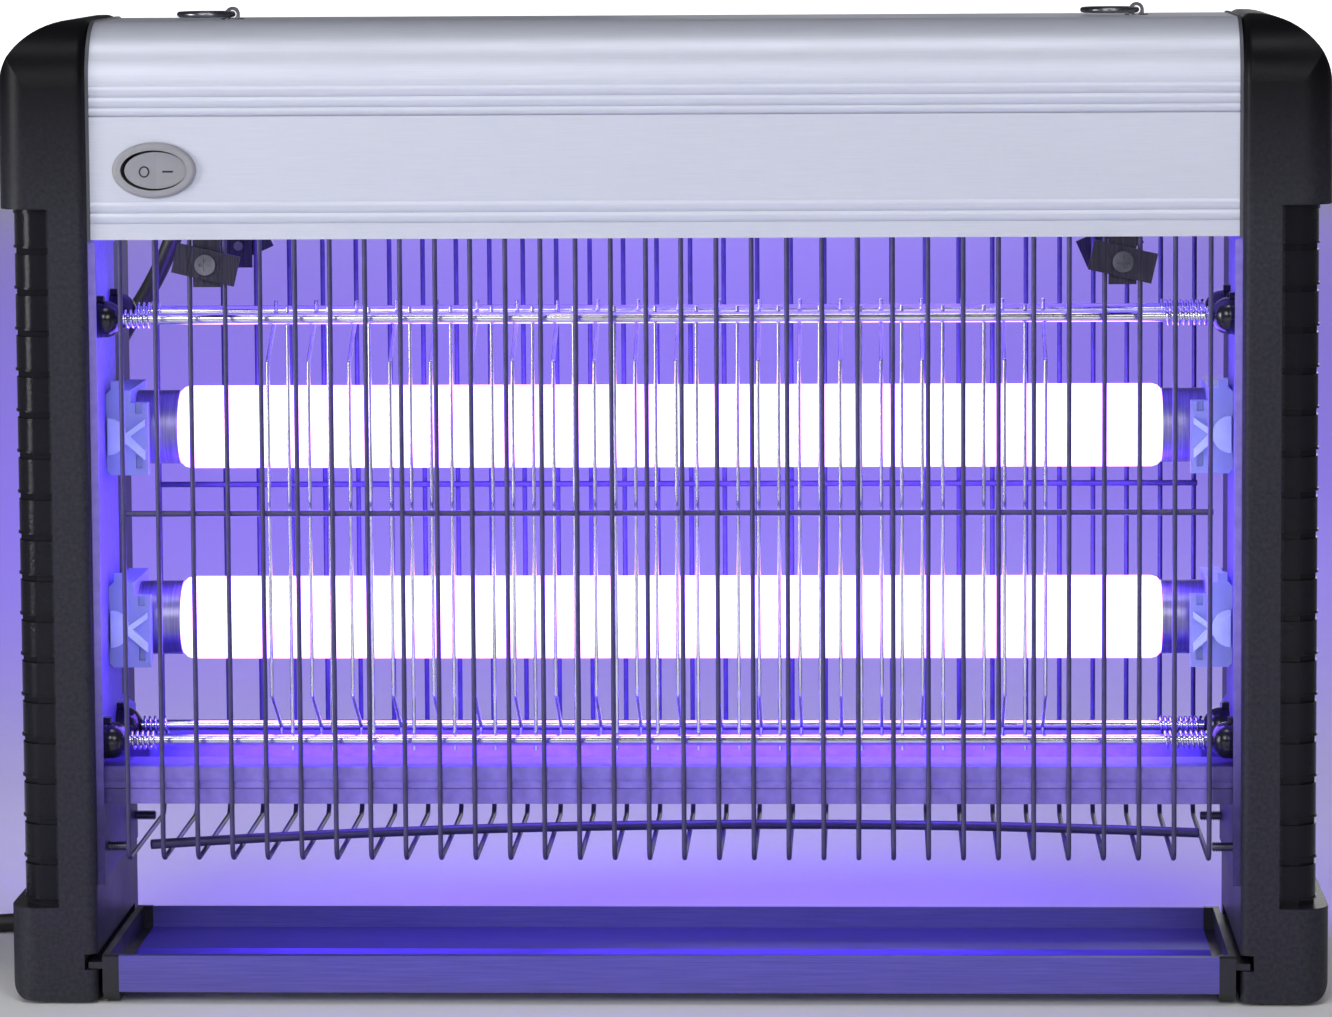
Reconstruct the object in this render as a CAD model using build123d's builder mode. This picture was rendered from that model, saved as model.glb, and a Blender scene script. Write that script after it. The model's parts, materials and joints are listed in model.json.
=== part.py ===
from build123d import *
import math
import os

# Electric insect killer, millimetres.
# +X to the right, +Y to the rear, +Z up; the origin is on the floor under the middle of the body.

# ---------------------------------------------------------------- driving dimensions
HALF_W = 201.5            # half of the overall width
HALF_D = 46.0             # half of the overall depth
FRAME_T = 27.0            # thickness of a side frame
INNER_X = HALF_W - FRAME_T
PLATE_T = 1.0             # end plate sheet
BAY_X = INNER_X - PLATE_T  # half of the clear width between the end plates

FRAME_Z0 = 1.0            # underside of the side frames, above their feet
FRAME_TOP = 301.0
FOOT_TOP = 30.0
CAP_BOTTOM = 244.0
BAND_STEP = 3.3           # the louvred band lies this far inside the cap and foot
BAND_R = 8.0
LOUVRE_PITCH = 12.5
LOUVRE_COUNT = 17
LIP_H = 0.6               # thin lip along the bottom of each louvre
LIP_STEP = 0.3
SLIT_H = 2.0              # slit between two louvres
SLIT_STEP = 0.7
NOTCH_DEPTH = 2.0         # the slit's depth in the middle of a rounded corner
SHELF_DEPTH = 1.5         # and along the band's front and rear faces

HOUSING_D = 42.5          # half depth of the top housing
HOUSING_Z0 = 234.5
HOUSING_TOP = 300.0
HOUSING_R = 17.5
HOUSING_WALL = 1.2
SEAM_Z = 272.0
WEB_Z = 238.0             # floor of the lower housing, above its front and rear lips
COVER_RIBS = (281.0, 277.6, 274.4, 271.9)   # the lines between the cover's three ribs
LOWER_RIBS = (246.0, 242.5, 239.3)
RIB_DEPTH = 0.6

SWITCH_X = -153.8
SWITCH_Z = 255.6
ROCKER_TILT = 7.0         # half of the rocker's travel; its right end is pressed at rest
ROCKER_VEE = 3.0          # each half of the rocker's face leans this much

WIRE_R = 0.75             # guard wire
GUARD_Y = 40.5
GUARD_PITCH = 10.65
GUARD_COUNT = 32
GUARD_Z0 = 44.0
GUARD_TOP = 237.5
GUARD_BEND = 4.0
CROSS_WIRE_R = 0.9
CROSS_WIRE_Z = 150.6
GUARD_X0 = -GUARD_PITCH * (GUARD_COUNT - 1) / 2

CLIP_X = 138.45           # turn clips, in the middle of a gap between guard wires
CLIP_Z = 227.0
FRONT_CLIP_TILT = 13.0
REAR_CLIP_TILT = -24.0
CLIP_SCREW_R = 1.5

LAMP_Y = 2.0
LAMP_ZS = {"upper": 173.0, "lower": 113.0}
GLASS_R = 12.9
GLASS_X = 152.5
CAP_R = 11.5
CAP_END_X = 165.75
PIN_R = 1.17
PIN_OFFSET = 6.35
HOLDER_H = 26.4
HOLDER_FRONT_Y = -16.0
HOLDER_REAR_Y = 20.0
HOLDER_FACE_X = 165.9
HOLDER_CHEEK_X = 160.7

ROD_R = 1.7
ROD_FRONT_Y = -31.0
ROD_REAR_Y = -2.0
ROD_ZS = (79.5, 209.5)
GRID_WIRE_R = 0.6
GRID_PITCH = 12.5
LIVE_COUNT = 19
RETURN_COUNT = 20
LIVE_X0 = -115.5
RETURN_X0 = -121.75
GRID_Y = ROD_FRONT_Y + ROD_R + GRID_WIRE_R - 0.2   # both wire sets hang in this plane
RETURN_SLOPE = 13.5

SCREW_PLACES = ((-25.0, 45.4), (34.0, 44.5), (9.0, 66.0))   # side screws, (Y, Z)

RAIL_TOP = 72.5
RAIL_BOTTOM = 61.0
RAIL_Y = 38.5

TRAY_HALF_W = 173.0
TRAY_CAP_T = 5.0
TRAY_FRONT_Y = -46.0
TRAY_REAR_Y = 33.0
TRAY_RIM = 15.2
GROOVE_Z = (10.7, 15.6)   # runner groove in each foot
GROOVE_DEPTH = 4.0
TONGUE_Z = (11.0, 13.0)

EYE_XS = {"left": -134.5, "right": 144.5}
EYE_R = 2.3
EYE_HOLE_R = 1.25
RING_R = 8.2              # to the middle of the ring's wire
RING_WIRE_R = 0.9
RING_Z = 301.6

CORD_R = 3.0
COIL_CENTRE = (-268.0, 22.0)
COIL_INNER_R = 24.0
COIL_OUTER_R = 45.0
COIL_H = 12.0
RELIEF_X = -160.0
RELIEF_Z = 252.0
RELIEF_END_Y = 68.0

# The lead hangs from the rear of the housing, swings behind the left frame and runs out to the coil.
CORD_ROUTE = [
    (RELIEF_X, RELIEF_END_Y, RELIEF_Z),
    (RELIEF_X, 81.5, RELIEF_Z),
    (-161.7, 94.4, 246.7),
    (-164.5, 103.6, 236.6),
    (-168.9, 107.2, 223.3),
    (-175.6, 104.8, 209),
    (-183.2, 98, 196.6),
    (-189.2, 90, 183.2),
    (-191.4, 82, 166.8),
    (-190.6, 75.3, 145.5),
    (-188.6, 70.4, 118),
    (-187, 67.4, 87),
    (-186.5, 66, 57),
    (-186.5, 66, 31.2),
    (-191.9, 66, 18.3),
    (-201.8, 65.6, 8.4),
    (-214.7, 65.2, 3),
    (-233.7, 65, 3),
    (-252, 64.6, 3),
]

# From the coil's outer turn to the plug.
PLUG_X = -297.0
PLUG_REAR_Y = -30.0
PLUG_ENTRY_Z = 8.0
TAIL_ROUTE = [
    (-307.0, 9.0, 9.0),
    (-303.5, -3.0, 9.0),
    (-299.0, -14.0, 8.5),
    (PLUG_X, -22.0, PLUG_ENTRY_Z),
    (PLUG_X, PLUG_REAR_Y, PLUG_ENTRY_Z),
]

os.makedirs("parts", exist_ok=True)


# ---------------------------------------------------------------- helpers
def save(builder, name):
    builder.part.label = name
    export_step(builder.part, f"parts/{name}.step")


def block(x, y, z, mode=Mode.ADD):
    """A box between the two values given for each axis, inside the open part."""
    with Locations(((x[0] + x[1]) / 2, (y[0] + y[1]) / 2, (z[0] + z[1]) / 2)):
        return Box(abs(x[1] - x[0]), abs(y[1] - y[0]), abs(z[1] - z[0]), mode=mode)


def rod_x(x, y, z, radius, mode=Mode.ADD):
    with Locations(Location(((x[0] + x[1]) / 2, y, z), (0, 90, 0))):
        return Cylinder(radius, abs(x[1] - x[0]), mode=mode)


def rod_y(x, y, z, radius, mode=Mode.ADD):
    with Locations(Location((x, (y[0] + y[1]) / 2, z), (90, 0, 0))):
        return Cylinder(radius, abs(y[1] - y[0]), mode=mode)


def rod_z(x, y, z, radius, mode=Mode.ADD):
    with Locations((x, y, (z[0] + z[1]) / 2)):
        return Cylinder(radius, abs(z[1] - z[0]), mode=mode)


def bent_wire(points, radius):
    """A round wire along straight runs."""
    with BuildPart() as wire:
        with BuildLine() as path:
            Polyline(*points)
        start = path.line @ 0
        with BuildSketch(Plane(origin=start, z_dir=path.line % 0)):
            Circle(radius)
        sweep(path=path.line, transition=Transition.ROUND)
    return wire.part


def route_radii(points):
    """Arc radius at each corner of a lead's route: 0.45 of the shorter run over tan(half the turn)."""
    radii = []
    for before, corner, after in zip(points, points[1:], points[2:]):
        run_in = Vector(*corner) - Vector(*before)
        run_out = Vector(*after) - Vector(*corner)
        turn = math.radians(run_in.get_angle(run_out))
        radii.append(0.45 * min(run_in.length, run_out.length) / math.tan(turn / 2))
    return radii


def lead(points, radius):
    """A lead of round section along runs joined by tangent arcs, with its length."""
    radii = route_radii(points)
    with BuildPart() as tube:
        with BuildLine() as path:
            FilletPolyline(*points, radius=radii)
        with BuildSketch(Plane(origin=path.line @ 0, z_dir=path.line % 0)):
            Circle(radius)
        sweep(path=path.line)
    length = sum(edge.length for edge in path.edges())
    ratio = tube.part.volume / (math.pi * radius ** 2 * length)
    print(f"lead length {length:.1f} radii {[round(r) for r in radii]} volume ratio {ratio:.4f}")
    return tube.part


# ---------------------------------------------------------------- side frames
def frame_outline():
    """The plain outer form of the left frame: three profiles crossed with each other."""
    outer_x = -HALF_W
    inner_x = -INNER_X
    with BuildPart() as form:
        with BuildSketch(Plane.XZ.offset(-HALF_D)):
            with BuildLine():
                Polyline((inner_x, FRAME_Z0), (inner_x, FRAME_TOP), (outer_x + 23, FRAME_TOP))
                RadiusArc((outer_x + 23, FRAME_TOP), (outer_x, FRAME_TOP - 23), -23)
                Polyline((outer_x, FRAME_TOP - 23), (outer_x, FRAME_Z0 + 6))
                RadiusArc((outer_x, FRAME_Z0 + 6), (outer_x + 6, FRAME_Z0), -6)
                Line((outer_x + 6, FRAME_Z0), (inner_x, FRAME_Z0))
            make_face()
        extrude(amount=2 * HALF_D)
        with BuildSketch(Plane.YZ.offset(outer_x)):
            with BuildLine():
                Polyline((HALF_D - 20, FRAME_TOP), (-HALF_D + 20, FRAME_TOP))
                RadiusArc((-HALF_D + 20, FRAME_TOP), (-HALF_D, FRAME_TOP - 20), -20)
                Polyline((-HALF_D, FRAME_TOP - 20), (-HALF_D, FRAME_Z0), (HALF_D, FRAME_Z0),
                         (HALF_D, FRAME_TOP - 20))
                RadiusArc((HALF_D, FRAME_TOP - 20), (HALF_D - 20, FRAME_TOP), -20)
            make_face()
        extrude(amount=FRAME_T, mode=Mode.INTERSECT)
        with BuildSketch(Plane.XY):
            with Locations(((outer_x + inner_x) / 2 + 10, 0)):
                RectangleRounded(FRAME_T + 20, 2 * HALF_D, 9)
        extrude(amount=FRAME_TOP, mode=Mode.INTERSECT)
        column = form.edges().filter_by(Axis.Z).group_by(Axis.X)[-1]
        fillet(column, 3)
    return form.part


def band_cut(step, z_low, z_high):
    """The material outside the recessed band, between two heights."""
    with BuildPart() as ring:
        block((-HALF_W - 1, -186), (-HALF_D - 1, HALF_D + 1), (z_low, z_high))
        with BuildSketch(Plane.XY.offset(z_low)):
            with Locations((-HALF_W + step + 50, 0)):
                RectangleRounded(100, 2 * (HALF_D - step), BAND_R)
        extrude(amount=z_high - z_low, mode=Mode.SUBTRACT)
    return ring.part


def corner_notches(z_low, z_high):
    """The slit's deeper cuts: a chord across each rounded corner, then a shelf to the band's inner end."""
    reach = (BAND_R - NOTCH_DEPTH) * math.sqrt(2)
    x = -HALF_W + BAND_STEP + BAND_R
    y = HALF_D - BAND_STEP - BAND_R
    shelf_y = HALF_D - BAND_STEP - SHELF_DEPTH
    shelf_x = x - reach + shelf_y - y
    outer_x = -HALF_W - 1
    with BuildPart() as cuts:
        with BuildSketch(Plane.XY.offset(z_low)):
            with BuildLine():
                Polyline((x - reach, -y), (shelf_x, -shelf_y), (-186.4, -shelf_y), (-186.4, -HALF_D - 1),
                         (outer_x, -HALF_D - 1), (outer_x, -y), close=True)
            make_face()
        extrude(amount=z_high - z_low)
        mirror(about=Plane.XZ)
    return cuts.part


with BuildPart() as left_side_frame:
    add(frame_outline())
    add(band_cut(BAND_STEP, FOOT_TOP, CAP_BOTTOM), mode=Mode.SUBTRACT)
    for louvre in range(LOUVRE_COUNT):
        slit = FOOT_TOP + louvre * LOUVRE_PITCH
        face = slit + SLIT_H + LIP_H
        face_end = min(slit + LOUVRE_PITCH, CAP_BOTTOM)
        add(band_cut(BAND_STEP + SLIT_STEP, slit, slit + SLIT_H), mode=Mode.SUBTRACT)
        add(corner_notches(slit, slit + SLIT_H), mode=Mode.SUBTRACT)
        add(band_cut(BAND_STEP + LIP_STEP, face, face_end), mode=Mode.SUBTRACT)
    block((-193.5, -177), (-37, 37), (18, 274), mode=Mode.SUBTRACT)
    block((-190, -177), (-36, 36), (273, 290), mode=Mode.SUBTRACT)
    block((-199, -181), (-40, 40), (4, 18.5), mode=Mode.SUBTRACT)
    block((-INNER_X - GROOVE_DEPTH, -INNER_X + 1), (-HALF_D - 1, 36), GROOVE_Z, mode=Mode.SUBTRACT)
    rod_x((-178, -174), 10, 262, 6, mode=Mode.SUBTRACT)
    for lamp_z in LAMP_ZS.values():
        rod_x((-178, -174), LAMP_Y, lamp_z, 4, mode=Mode.SUBTRACT)
    for screw_y, screw_z in SCREW_PLACES:
        rod_x((-178, -174), screw_y, screw_z, 1.7, mode=Mode.SUBTRACT)
save(left_side_frame, "left_side_frame")

with BuildPart() as right_side_frame:
    mirror(left_side_frame.part, about=Plane.YZ)
save(right_side_frame, "right_side_frame")

with BuildPart() as rubber_feet:
    for foot_x in (-194, 194):
        for foot_y in (-35, 35):
            rod_z(foot_x, foot_y, (0, FRAME_Z0), 5)
save(rubber_feet, "rubber_feet")


# ---------------------------------------------------------------- end plates
with BuildPart() as left_end_plate:
    margin = 0.5
    half = HOUSING_D + margin
    top = HOUSING_TOP + margin
    with BuildSketch(Plane.YZ.offset(-INNER_X)):
        with BuildLine():
            Polyline((-HOUSING_D, 36.5), (HOUSING_D - 4, 36.5), (HOUSING_D - 4, 80), (8, 88),
                     (5, HOUSING_Z0 - 4), (half, HOUSING_Z0), (half, top - HOUSING_R))
            RadiusArc((half, top - HOUSING_R), (half - HOUSING_R, top), -HOUSING_R)
            Line((half - HOUSING_R, top), (-half + HOUSING_R, top))
            RadiusArc((-half + HOUSING_R, top), (-half, top - HOUSING_R), -HOUSING_R)
            Polyline((-half, top - HOUSING_R), (-half, HOUSING_Z0), (-HOUSING_D, HOUSING_Z0 - 1),
                     (-HOUSING_D, 36.5))
        make_face()
    extrude(amount=PLATE_T)
    block((-INNER_X, -INNER_X + 2.3), (-HOUSING_D, -HOUSING_D + 0.9), (36.5, HOUSING_Z0 - 1))
    rod_x((-175, -173), 10, 262, 6, mode=Mode.SUBTRACT)
    for lamp_z in LAMP_ZS.values():
        rod_x((-175, -173), LAMP_Y, lamp_z, 4, mode=Mode.SUBTRACT)
    for screw_y, screw_z in SCREW_PLACES:
        rod_x((-175, -173), screw_y, screw_z, 1.6, mode=Mode.SUBTRACT)
save(left_end_plate, "left_end_plate")

with BuildPart() as right_end_plate:
    mirror(left_end_plate.part, about=Plane.YZ)
save(right_end_plate, "right_end_plate")

with BuildPart() as side_screws:
    for side in (-1, 1):
        for screw_y, screw_z in SCREW_PLACES:
            rod_x((side * 178.8, side * 177), screw_y, screw_z, 3.0)
            rod_x((side * 177, side * 167.0), screw_y, screw_z, 1.2)
            for turn in range(8):
                rod_x((side * (173.0 - turn * 0.75), side * (172.65 - turn * 0.75)), screw_y, screw_z, 1.5)
save(side_screws, "side_screws")


# ---------------------------------------------------------------- top housing
def dome_line(half, top, radius, base):
    """The open outline of the dome from its rear foot over the top to its front foot."""
    Line((half, base), (half, top - radius))
    RadiusArc((half, top - radius), (half - radius, top), -radius)
    Line((half - radius, top), (-half + radius, top))
    RadiusArc((-half + radius, top), (-half, top - radius), -radius)
    Line((-half, top - radius), (-half, base))
    Line((-half, base), (half, base))


def rib_cut(heights):
    """The material taken away to leave one shallow convex rib between each two heights, front and rear."""
    with BuildPart() as cuts:
        for upper, lower in zip(heights, heights[1:]):
            with BuildSketch(Plane.YZ.offset(-BAY_X)):
                with BuildLine():
                    ThreePointArc((-HOUSING_D + RIB_DEPTH, lower), (-HOUSING_D, (2 * upper + lower) / 3),
                                  (-HOUSING_D + RIB_DEPTH / 3, upper))
                    Polyline((-HOUSING_D + RIB_DEPTH / 3, upper), (-HOUSING_D - 1, upper),
                             (-HOUSING_D - 1, lower), (-HOUSING_D + RIB_DEPTH, lower))
                make_face()
            extrude(amount=2 * BAY_X)
        mirror(about=Plane.XZ)
    return cuts.part


with BuildPart() as top_cover:
    with BuildSketch(Plane.YZ.offset(-BAY_X)):
        with BuildLine():
            dome_line(HOUSING_D, HOUSING_TOP, HOUSING_R, SEAM_Z)
        make_face()
    extrude(amount=2 * BAY_X)
    with BuildSketch(Plane.YZ.offset(-BAY_X)):
        with BuildLine():
            dome_line(HOUSING_D - HOUSING_WALL, HOUSING_TOP - HOUSING_WALL,
                      HOUSING_R - HOUSING_WALL, SEAM_Z)
        make_face()
    extrude(amount=2 * BAY_X, mode=Mode.SUBTRACT)
    for side in (-1, 1):
        block((-BAY_X, BAY_X), (side * (HOUSING_D - HOUSING_WALL + 0.1), side * (HOUSING_D - 2.4)),
              (SEAM_Z, SEAM_Z + 1.5))
        block((-BAY_X, BAY_X), (side * (HOUSING_D - HOUSING_WALL), side * (HOUSING_D - 2.4)),
              (SEAM_Z - 5, SEAM_Z + 0.5))
    add(rib_cut(COVER_RIBS), mode=Mode.SUBTRACT)
    for eye_x in EYE_XS.values():
        rod_z(eye_x, 0, (HOUSING_TOP - 2, HOUSING_TOP + 1), 1.55, mode=Mode.SUBTRACT)
save(top_cover, "top_cover")

with BuildPart() as lower_housing:
    wall_top = SEAM_Z - 0.3
    for side in (-1, 1):
        block((-BAY_X, BAY_X), (side * HOUSING_D, side * (HOUSING_D - HOUSING_WALL)),
              (HOUSING_Z0, wall_top))
    block((-BAY_X, BAY_X), (-HOUSING_D + 0.5, HOUSING_D - 0.5), (WEB_Z, WEB_Z + HOUSING_WALL))
    add(rib_cut(LOWER_RIBS), mode=Mode.SUBTRACT)
    with BuildSketch(Plane.XZ.offset(HOUSING_D + 1)):
        with Locations((SWITCH_X, SWITCH_Z)):
            Ellipse(11.2, 7.2)
    extrude(amount=-4, mode=Mode.SUBTRACT)
    rod_y(RELIEF_X, (HOUSING_D - 3, HOUSING_D + 1), RELIEF_Z, 5, mode=Mode.SUBTRACT)
save(lower_housing, "lower_housing")


# ---------------------------------------------------------------- switch
SWITCH_FACE = -HOUSING_D - 1.9
PIVOT_Y = -HOUSING_D + 3.6

with BuildPart() as switch_bezel:
    with BuildSketch(Plane.XZ.offset(HOUSING_D)):
        with Locations((SWITCH_X, SWITCH_Z)):
            Ellipse(12.75, 8.5)
    extrude(amount=1.9)
    fillet(switch_bezel.faces().sort_by(Axis.Y)[0].edges(), 1.2)
    with BuildSketch(Plane.XZ.offset(HOUSING_D)):
        with Locations((SWITCH_X, SWITCH_Z)):
            Ellipse(11.1, 7.1)
    extrude(amount=-18)
    with BuildSketch(Plane.XZ.offset(HOUSING_D + 3)):
        with Locations((SWITCH_X, SWITCH_Z)):
            Ellipse(10.1, 6.1)
    extrude(amount=-17.5, mode=Mode.SUBTRACT)
save(switch_bezel, "switch_bezel")

with BuildPart() as rocker_form:
    with BuildSketch(Plane.XZ.offset(-SWITCH_FACE + 1.2)):
        with Locations((SWITCH_X, SWITCH_Z)):
            Ellipse(9.4, 5.55)
    extrude(amount=-9.8)
    for side in (-1, 1):
        with Locations(Location((SWITCH_X + side * 10, SWITCH_FACE - 2.9, SWITCH_Z),
                                (0, 0, side * -ROCKER_VEE))):
            Box(20.4, 6, 16, mode=Mode.SUBTRACT)

with BuildPart() as switch_rocker:
    add(rocker_form.part.rotate(Axis((SWITCH_X, PIVOT_Y, 0), (0, 0, 1)), ROCKER_TILT))
save(switch_rocker, "switch_rocker")

with BuildPart() as switch_terminals:
    for column in (-6, 0, 6):
        block((SWITCH_X + column - 2.4, SWITCH_X + column + 2.4), (-HOUSING_D + 18, -HOUSING_D + 26),
              (SWITCH_Z - 0.4, SWITCH_Z + 0.4))
save(switch_terminals, "switch_terminals")


# ---------------------------------------------------------------- electrical parts in the housing
DECK = WEB_Z + HOUSING_WALL

with BuildPart() as ballasts:
    for ballast_x in (-62, 22):
        block((ballast_x - 33, ballast_x + 33), (-15, 15), (DECK, DECK + 26))
        block((ballast_x - 39, ballast_x + 39), (-15, 15), (DECK, DECK + 1.5))
save(ballasts, "ballasts")

with BuildPart() as ballast_windings:
    for ballast_x in (-62, 22):
        block((ballast_x - 22, ballast_x + 22), (-21, -15), (DECK + 5, DECK + 22))
        block((ballast_x - 22, ballast_x + 22), (15, 21), (DECK + 5, DECK + 22))
save(ballast_windings, "ballast_windings")

with BuildPart() as hv_board:
    block((76, 142), (-24, 24), (DECK + 5, DECK + 6.6))
    for post_x in (79, 139):
        for post_y in (-21, 21):
            rod_z(post_x, post_y, (DECK, DECK + 5), 2.2)
save(hv_board, "hv_board")

with BuildPart() as hv_capacitors:
    for cap_x in (86, 98, 110, 122, 134):
        rod_z(cap_x, -12, (DECK + 6.6, DECK + 11.6), 4.2)
        block((cap_x - 4, cap_x + 4), (4, 16), (DECK + 6.6, DECK + 18))
save(hv_capacitors, "hv_capacitors")

with BuildPart() as starter_holders:
    for starter_y in (-26, 26):
        block((60, 68), (starter_y - 11, starter_y + 11), (DECK, DECK + 24))
save(starter_holders, "starter_holders")

with BuildPart() as starters:
    for starter_y in (-26, 26):
        rod_x((68, 72), starter_y, DECK + 12.5, 9)
        rod_x((72, 76), starter_y, DECK + 12.5, 10.5)
save(starters, "starters")

with BuildPart() as terminal_block:
    block((-130, -112), (4, 30), (DECK, DECK + 14))
    for screw_y in (8, 14, 20, 26):
        rod_z(-121, screw_y, (DECK + 9, DECK + 14.5), 1.9, mode=Mode.SUBTRACT)
save(terminal_block, "terminal_block")

LEAD_ROUTES = [
    [(-154, 32, 252), (-148, 30, 252), (-140, 22, 248), (-136, 20, 246), (-130.3, 20, 246)],
    [(-153.8, -14.2, 257.6), (-152, -4, 257), (-145, 6, 252), (-137, 10, 247), (-130.3, 10, 247)],
    [(-111.7, 12, 246), (-108.5, 12, 246), (-105.5, 10, 247), (-101.5, 8, 247)],
    [(-111.7, 26, 245), (-100, 27, 248), (-70, 29, 264), (-20, 30, 268), (20, 30, 264), (58, 38.5, 255)],
    [(64.2, -10, 264.5), (70, -6, 270), (84, -2, 268), (92, -1, 258), (93, -1, 247)],
]

with BuildPart() as internal_leads:
    for lead_route in LEAD_ROUTES:
        add(lead(lead_route, 1.1))
save(internal_leads, "internal_leads")


# ---------------------------------------------------------------- lamps and lampholders
def lamp_glass(height):
    shoulder = [(0, CAP_R - 0.7), (0.4, CAP_R), (1.3, GLASS_R - 0.5), (3, GLASS_R)]
    outline = [(x - GLASS_X, r) for x, r in shoulder] + [(GLASS_X - x, r) for x, r in reversed(shoulder)]
    bore = [(x, r - 0.8) for x, r in reversed(outline)]
    with BuildPart() as glass:
        with BuildSketch(Plane.XZ):
            with BuildLine():
                Polyline(*outline, *bore, close=True)
            make_face()
        revolve(axis=Axis.X)
    return glass.part.moved(Location((0, LAMP_Y, height)))


def lamp_caps(height):
    with BuildPart() as caps:
        for side in (-1, 1):
            rod_x((side * GLASS_X, side * CAP_END_X), LAMP_Y, height, CAP_R)
            rod_x((side * (GLASS_X - 1), side * (CAP_END_X - 0.8)), LAMP_Y, height, CAP_R - 0.6,
                  mode=Mode.SUBTRACT)
    return caps.part


def lamp_pins(height):
    with BuildPart() as pins:
        for side in (-1, 1):
            for offset in (-PIN_OFFSET, PIN_OFFSET):
                rod_x((side * CAP_END_X, side * 172.7), LAMP_Y, height + offset, PIN_R)
    return pins.part


def lamp_rotors(height):
    """The turning inserts of the lampholders, each with a groove that takes the two pins."""
    with BuildPart() as rotors:
        for side in (-1, 1):
            rod_x((side * 166.1, side * 168.7), LAMP_Y, height, 8.2)
            block((side * 166.0, side * 167.0), (LAMP_Y - 1.6, LAMP_Y + 1.6),
                  (height - 9, height + 9), mode=Mode.SUBTRACT)
            for offset in (-PIN_OFFSET, PIN_OFFSET):
                rod_x((side * 165, side * 170), LAMP_Y, height + offset, PIN_R + 0.05,
                      mode=Mode.SUBTRACT)
    return rotors.part


for lamp_name, lamp_z in LAMP_ZS.items():
    with BuildPart() as lamp_tube:
        add(lamp_glass(lamp_z))
    save(lamp_tube, f"{lamp_name}_lamp_tube")
    with BuildPart() as caps:
        add(lamp_caps(lamp_z))
    save(caps, f"{lamp_name}_lamp_caps")
    with BuildPart() as pins:
        add(lamp_pins(lamp_z))
    save(pins, f"{lamp_name}_lamp_pins")
    with BuildPart() as rotors:
        add(lamp_rotors(lamp_z))
    save(rotors, f"{lamp_name}_lamp_rotors")


def lampholder(height):
    """A left-hand rotary holder: a base against the end plate with a cheek in front of the lamp cap."""
    low = height - HOLDER_H / 2
    high = height + HOLDER_H / 2
    with BuildPart() as holder:
        block((-BAY_X, -HOLDER_FACE_X), (HOLDER_FRONT_Y, HOLDER_REAR_Y), (low, high))
        block((-HOLDER_FACE_X, -HOLDER_CHEEK_X), (HOLDER_FRONT_Y, HOLDER_FRONT_Y + 4.2), (low, high - 4))
        block((-172, -169), (HOLDER_FRONT_Y, HOLDER_FRONT_Y + 3), (high, high + 2.8))
        rod_x((-173.0, -HOLDER_FACE_X + 1), LAMP_Y, height, 8.5, mode=Mode.SUBTRACT)
        block((-173.0, -HOLDER_FACE_X + 1), (LAMP_Y, HOLDER_REAR_Y + 1), (height - 1.8, height + 1.8),
              mode=Mode.SUBTRACT)
        rod_x((-174, -172), LAMP_Y, height, 2.5, mode=Mode.SUBTRACT)
        for slot_z in (height + 8, height - 9):
            block((-164.5, -162.5), (HOLDER_FRONT_Y - 1, HOLDER_FRONT_Y + 1.5), (slot_z - 2, slot_z + 2),
                  mode=Mode.SUBTRACT)
        chamfer(holder.edges().filter_by(Axis.Y).group_by(Axis.X)[0], 1.2)
    return holder.part


with BuildPart() as left_lampholders:
    for lamp_z in LAMP_ZS.values():
        add(lampholder(lamp_z))
save(left_lampholders, "left_lampholders")

with BuildPart() as right_lampholders:
    mirror(left_lampholders.part, about=Plane.YZ)
save(right_lampholders, "right_lampholders")


def lampholder_clip(height):
    """A left-hand clip on the holder's front: half a button with two splayed legs."""
    front = -HOLDER_FRONT_Y
    with BuildPart() as clip:
        with BuildSketch(Plane.XZ.offset(front)):
            with Locations((-172.9, height - 1)):
                Circle(5.75)
            with Locations((-172.9 - 10, height - 1)):
                Rectangle(20, 20, mode=Mode.SUBTRACT)
            with BuildLine():
                Polyline((-168, height - 0.5), (-161.5, height + 4.2), (-161.5, height + 2.2),
                         (-166, height - 1), (-161.5, height - 5.6), (-161.5, height - 8.2),
                         (-168, height - 2.6), close=True)
            make_face()
        extrude(amount=2.2)
    return clip.part


with BuildPart() as lampholder_clips:
    for lamp_z in LAMP_ZS.values():
        add(lampholder_clip(lamp_z))
        mirror(lampholder_clip(lamp_z), about=Plane.YZ)
save(lampholder_clips, "lampholder_clips")


# ---------------------------------------------------------------- high-voltage grid
ROD_END_X = 169.0
INSULATOR_TIP_X = 165.5

with BuildPart() as hv_grid_live:
    for rod_height in ROD_ZS:
        rod_x((-ROD_END_X, ROD_END_X), ROD_FRONT_Y, rod_height, ROD_R)
    for index in range(LIVE_COUNT):
        rod_z(LIVE_X0 + index * GRID_PITCH, GRID_Y, (ROD_ZS[0] - 3.4, ROD_ZS[1] + 3.4), GRID_WIRE_R)
save(hv_grid_live, "hv_grid_live")


def return_wire(x):
    """A wire that starts on the rear rods and steps forward into the plane of the live wires."""
    weld_y = ROD_REAR_Y - ROD_R - GRID_WIRE_R + 0.2
    points = [(x, weld_y, ROD_ZS[0] - 3.4), (x, weld_y, ROD_ZS[0]), (x, GRID_Y, ROD_ZS[0] + RETURN_SLOPE),
              (x, GRID_Y, ROD_ZS[1] - RETURN_SLOPE), (x, weld_y, ROD_ZS[1]), (x, weld_y, ROD_ZS[1] + 3.4)]
    return bent_wire(points, GRID_WIRE_R)


with BuildPart() as hv_grid_return:
    for rod_height in ROD_ZS:
        rod_x((-ROD_END_X, ROD_END_X), ROD_REAR_Y, rod_height, ROD_R)
    first_wire = return_wire(RETURN_X0)
    add([first_wire.moved(Location((index * GRID_PITCH, 0, 0))) for index in range(RETURN_COUNT)])
save(hv_grid_return, "hv_grid_return")

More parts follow.
